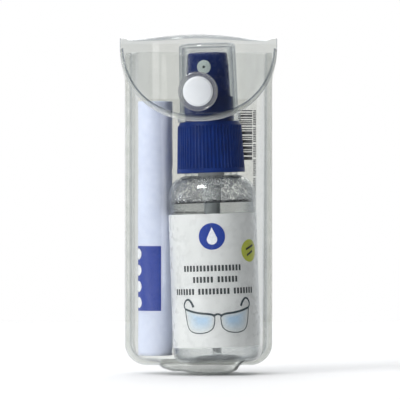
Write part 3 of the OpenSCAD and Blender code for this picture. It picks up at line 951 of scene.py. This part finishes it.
def droplets():
    """Beads of fluid on the inside of the shoulder, thick over the front and back."""
    rng = random.Random(7)
    verts, faces, placed = [], [], []
    levels, count = 3, 8
    for _ in range(4200):
        a, z = rng.uniform(0, 2 * math.pi), FLUID_Z + 0.3 + 8.4 * rng.random()
        size = 0.24 + 0.5 * rng.random() ** 2
        r, tilt = inner_wall(z)
        centre = Vector((r * math.cos(a), r * math.sin(a), z))
        if any((centre - q).length < (size + other) * 0.86 for q, other in placed):
            continue
        placed.append((centre, size))
        inwards = Vector((-math.cos(a) * math.cos(tilt), -math.sin(a) * math.cos(tilt), -math.sin(tilt)))
        side = Vector((-math.sin(a), math.cos(a), 0))
        up = inwards.cross(side)
        at = len(verts)
        for k in range(levels):
            phi = math.pi / 2 * k / levels
            for j in range(count):
                t = 2 * math.pi * j / count
                p = centre + (side * math.cos(t) + up * math.sin(t) * 1.15) * size * math.cos(phi)
                verts.append(tuple(in_bottle(*(p + inwards * (size * 0.6 * math.sin(phi) - 0.01)))))
        verts.append(tuple(in_bottle(*(centre + inwards * size * 0.6))))
        faces += [tuple(at + v for v in f) for f in grid_faces(levels, count, closed=True)]
        last = at + (levels - 1) * count
        faces += [(last + j, last + (j + 1) % count, at + levels * count) for j in range(count)]
        faces.append(tuple(at + j for j in reversed(range(count))))
    piece = mesh_piece("wall_droplets", verts, faces, DROPLET, "bottle")
    fix_normals(piece)
    return piece


def meniscus():
    """The fluid's uneven edge where it climbs the wall, tinted dark grey as painted shade for the dark line
    it shows.
    """
    verts, count, r = [], 160, inner_wall(FLUID_Z)[0]
    for i in range(count):
        a = 2 * math.pi * i / count
        swell = 0.5 + 0.5 * math.sin(5 * a + 0.6) * math.sin(3 * a + 2) + 0.2 * math.sin(23 * a)
        for depth, rise in ((0.02, -0.25), (0.02, 0.25 + 0.75 * swell),
                            (0.2 + 0.5 * swell, 0.05), (0.2, -0.25)):
            verts.append(tuple(in_bottle((r - depth) * math.cos(a), (r - depth) * math.sin(a),
                                         FLUID_Z + rise)))
    faces = ring_faces(count, 4)
    fix_normals(mesh_piece("fluid_meniscus", verts, faces, MENISCUS_SHADE, "bottle"))


def lathe(name, profile, steps, material, body, y):
    """A closed profile of (radius, forwards) points turned about the snap's axis, from plane y."""
    verts = []
    for r, v in profile:
        verts += [(SNAP.x + r * math.cos(2 * math.pi * i / steps), y - v,
                   SNAP.z + r * math.sin(2 * math.pi * i / steps)) for i in range(steps)]
    piece = mesh_piece(name, verts, ring_faces(len(profile), steps), material)
    fix_normals(piece)
    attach(piece, body)
    return piece


def snap_washer():
    """A thin clear disc under the cap, with a rounded bead round its edge."""
    low, high = size_of("snap_washer")
    bead_r = 0.26
    outer = (high.x - low.x) / 2
    profile = [(1.3, 0.0), (1.3, 0.2), (outer - 2 * bead_r - 0.06, 0.2)]
    profile += [(outer - bead_r + bead_r * math.cos(a), 0.2 + bead_r * 0.95 * math.sin(a))
                for a in np.linspace(math.pi, 0, 9)]
    profile += [(outer, 0.0)]
    piece = lathe("snap_washer_film", profile, 96, WASHER_CLEAR, "flap", high.y)
    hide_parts("snap_washer")


def nozzle_face():
    """A raised ring round the spray hole, and a dark grey disc in the hole: painted shade for the hole's
    depth.
    """
    ahead = Vector((math.sin(NOZZLE_TURN), -math.cos(NOZZLE_TURN), 0))
    side = Vector((math.cos(NOZZLE_TURN), math.sin(NOZZLE_TURN), 0))
    for name, profile, material in (
            ("nozzle_ring", [(1.0, -0.05), (1.08, 0.1), (1.22, 0.15), (1.36, 0.1), (1.44, -0.05)], INSERT_PP),
            # The disc in the hole is dark grey: painted shade, not print.
            ("nozzle_hole_shade", [(0.02, -0.3), (0.36, -0.3), (0.46, -0.02), (0.02, -0.02)], GREY_INK_AND_HOLE_SHADE)):
        verts, steps = [], 40
        for r, v in profile:
            for i in range(steps):
                t = 2 * math.pi * i / steps
                height = Vector((0, 0, NOZZLE_Z + r * math.sin(t)))
                p = ahead * (NOZZLE_REACH + v) + side * (r * math.cos(t)) + height
                verts.append(tuple(in_bottle(*p)))
        faces = ring_faces(len(profile), steps)
        fix_normals(mesh_piece(name, verts, faces, material, "actuator"))


# ---- CAD nodes that stay get their finish ----

FINISH = {
    "info_sticker": STICKER_CLEAR, "snap_stud": WHITE_SNAP, "snap_rivet": WHITE_SNAP,
    "snap_socket": WHITE_SNAP, "snap_cap": WHITE_SNAP, "bottle": POLYESTER, "bottle_label": LABEL_FILM,
    "promo_sticker": INK_LIME, "cleaning_fluid": FLUID_CLEAR, "neck_gasket": ELASTOMER,
    "pump_housing": NATURAL_PP, "housing_cap": NATURAL_PP, "dip_tube": TUBE_PE,
    "valve_ball": STEEL, "return_spring": STEEL,
    "piston": NATURAL_PP, "stem": NATURAL_PP, "actuator": BLUE_ACTUATOR, "nozzle_insert": INSERT_PP,
    "screw_closure": BLUE_CLOSURE, "overcap": STYRENE,
}


def finish_cad_nodes():
    """Materials for the CAD nodes that stay, and a mesh of its own for the return spring, which shortens."""
    for name, material in FINISH.items():
        mesh = NODES[name].data
        mesh.materials.clear()
        mesh.materials.append(material)
    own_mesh(NODES["return_spring"])


# ---- Studio ----

def area_light(name, place, aim, width, height, power, lights=True, mirrored=True):
    """A soft box. lights and mirrored say whether it lights surfaces and shows in them."""
    light = bpy.data.lights.new(name, "AREA")
    light.shape = "RECTANGLE"
    light.size, light.size_y = width, height
    light.energy = power
    made = bpy.data.objects.new(name, light)
    made.location = place
    made.rotation_euler = (Vector(aim) - Vector(place)).to_track_quat("-Z", "Y").to_euler()
    made.visible_glossy, made.visible_diffuse = mirrored, lights
    bpy.context.scene.collection.objects.link(made)


def studio_world():
    """White all round to the camera. As a light it is brighter on the left, and mirrored surfaces
    see the white backdrop behind the object and a dark room in front of it."""
    world = bpy.data.worlds.new("studio_world")
    world.use_nodes = True
    tree = world.node_tree
    link = tree.links.new
    way = tree.nodes.new("ShaderNodeSeparateXYZ")
    link(tree.nodes.new("ShaderNodeTexCoord").outputs["Generated"], way.inputs[0])
    path = tree.nodes.new("ShaderNodeLightPath")

    def side(axis, near, far, low, high, color):
        ramp = tree.nodes.new("ShaderNodeMapRange")
        ramp.interpolation_type = "SMOOTHSTEP"
        link(way.outputs[axis], ramp.inputs["Value"])
        for key, value in zip(("From Min", "From Max", "To Min", "To Max"), (near, far, low, high)):
            ramp.inputs[key].default_value = value
        made = tree.nodes.new("ShaderNodeBackground")
        made.inputs["Color"].default_value = (*color, 1)
        link(ramp.outputs["Result"], made.inputs["Strength"])
        return made.outputs[0]

    lit = side("X", -0.6, 0.9, 0.66, 0.24, (0.95, 0.97, 1.0))
    mirrored = side("Y", 0.1, 0.85, 0.05, 0.95, (0.92, 0.95, 1.0))
    seen = tree.nodes["Background"]
    seen.inputs["Color"].default_value = (1, 1, 1, 1)
    for factor, first, second in (("Is Glossy Ray", lit, mirrored), ("Is Camera Ray", None, seen.outputs[0])):
        mix = tree.nodes.new("ShaderNodeMixShader")
        link(path.outputs[factor], mix.inputs[0])
        link(first or last, mix.inputs[1])
        link(second, mix.inputs[2])
        last = mix.outputs[0]
    link(last, tree.nodes["World Output"].inputs["Surface"])
    return world


def studio():
    """Backdrop, floor and lights."""
    scene = bpy.context.scene
    scene.world = studio_world()

    floor_verts = [(x * 550, y * 550, 0) for x, y in ((-1, -1), (1, -1), (1, 1), (-1, 1))]
    mesh = bpy.data.meshes.new("floor")
    mesh.from_pydata([tuple(c * MM for c in v) for v in floor_verts], [], [(0, 1, 2, 3)])
    s = Shade("floor_white")
    s.set(Base_Color=s.tints(s.noise(200), (0.82, 0.82, 0.82), (0.84, 0.84, 0.84)), Roughness=0.8)
    mesh.materials.append(s.material)
    floor = bpy.data.objects.new("floor", mesh)
    bpy.context.scene.collection.objects.link(floor)

    middle = (0, 0, 0.06)
    area_light("key", (-0.72, -0.66, 0.34), middle, 0.42, 0.8, 9, mirrored=False)
    area_light("window", (-1.0, 0.03, 0.11), (0, 0, 0.09), 0.45, 0.16, 0.4, lights=False)
    area_light("skylight", (-0.40, -0.50, 0.85), middle, 0.34, 0.34, 7.0, lights=False)
    area_light("fill", (0.72, -0.55, 0.30), middle, 0.5, 0.7, 0.3, mirrored=False)
    area_light("top", (0.0, 0.1, 1.1), middle, 0.9, 0.9, 6)
    area_light("back", (0.1, 0.9, 0.5), middle, 0.9, 0.5, 3)
    scene.view_settings.view_transform = "Standard"
    scene.view_settings.look = "None"
    scene.cycles.transparent_max_bounces = 40
    scene.cycles.max_bounces = 24
    scene.cycles.transmission_bounces = 20
    scene.cycles.glossy_bounces = 6


def camera():
    """Straight ahead at the pouch's middle height, from far off as a long lens sees it."""
    distance, width = 1.3, 0.136
    data = bpy.data.cameras.new("camera")
    data.lens = data.sensor_width * distance / width
    data.clip_start, data.clip_end = 0.05, 20
    made = bpy.data.objects.new("camera", data)
    made.location = (0.0005, -distance, 0.0592)
    made.rotation_euler = (math.pi / 2, 0, 0)
    bpy.context.scene.collection.objects.link(made)
    bpy.context.scene.camera = made


camera()
studio()
finish_cad_nodes()
front_film()
flap_film()
pouch_weld()
flap_weld()
cloth_roll()
cloth_art()
label_art()
promo_art()
info_art()
droplets()
meniscus()
nozzle_face()
snap_washer()
